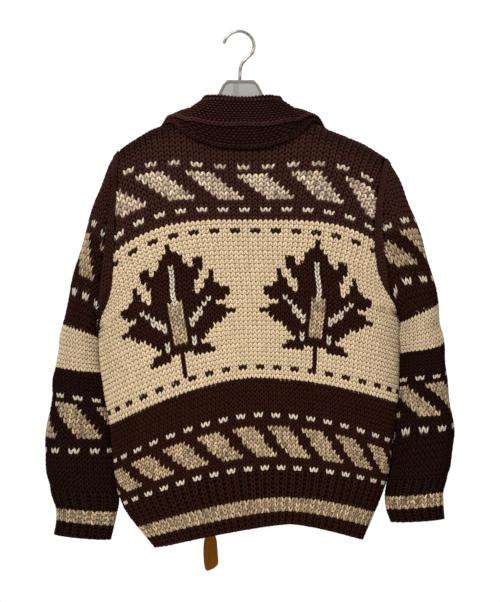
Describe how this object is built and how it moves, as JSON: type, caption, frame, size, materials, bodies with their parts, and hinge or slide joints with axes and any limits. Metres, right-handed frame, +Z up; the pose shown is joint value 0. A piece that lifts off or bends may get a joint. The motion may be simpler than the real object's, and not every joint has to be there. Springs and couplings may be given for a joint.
{
  "type": "knitted cardigan on a coat hanger",
  "caption": "Bulky hand-knitted wool cardigan with a shawl collar, banded and leaf-patterned, its front zip open, hanging from a plain hanger by its hook.",
  "frame": {"origin": "inside top of the hanger's hook, where a rod carries it", "axes": "+X across the shoulders to the wearer's right, +Y to the garment's front, +Z up; the row shows its back from -Y"},
  "size_m": [0.6707, 0.1557, 0.8989],
  "materials": {
    "wool_pattern": "thick hand-spun wool in brown, cream and marled grey-brown",
    "wool_brown": "dark brown hand-spun wool",
    "zip_tape": "woven tape",
    "zip_metal": "aged brass",
    "pull_leather": "oiled leather with darker edges",
    "hanger_plastic": "grey moulded plastic",
    "hook_metal": "dull plated wire"
  },
  "bodies": {
    "garment": {"back": "wool_pattern", "front_left": "wool_pattern", "front_right": "wool_pattern", "hem_back": "wool_brown", "hem_front_left": "wool_brown", "hem_front_right": "wool_brown", "sleeve_left": "wool_pattern", "sleeve_right": "wool_pattern", "cuff_left": "wool_brown", "cuff_right": "wool_brown", "collar_stand": "wool_brown", "collar_fall": "wool_brown", "lapel_left": "wool_brown", "lapel_right": "wool_brown", "zip_tape_left": "zip_tape", "zip_tape_right": "zip_tape", "zip_box": "zip_metal", "zip_pin": "zip_metal", "zip_slider": "zip_metal", "hanger_body": "hanger_plastic", "hanger_hook": "hook_metal"},
    "pull": {"pull_bail": "zip_metal", "pull_tab": "pull_leather"}
  },
  "joints": [
    {"name": "pull_hinge", "type": "hinge", "parent": "garment", "child": "pull", "pos_m": [-0.04697, 0.05067, -0.80796], "axis": [1, 0, 0], "range_deg": [0, 150]}
  ]
}
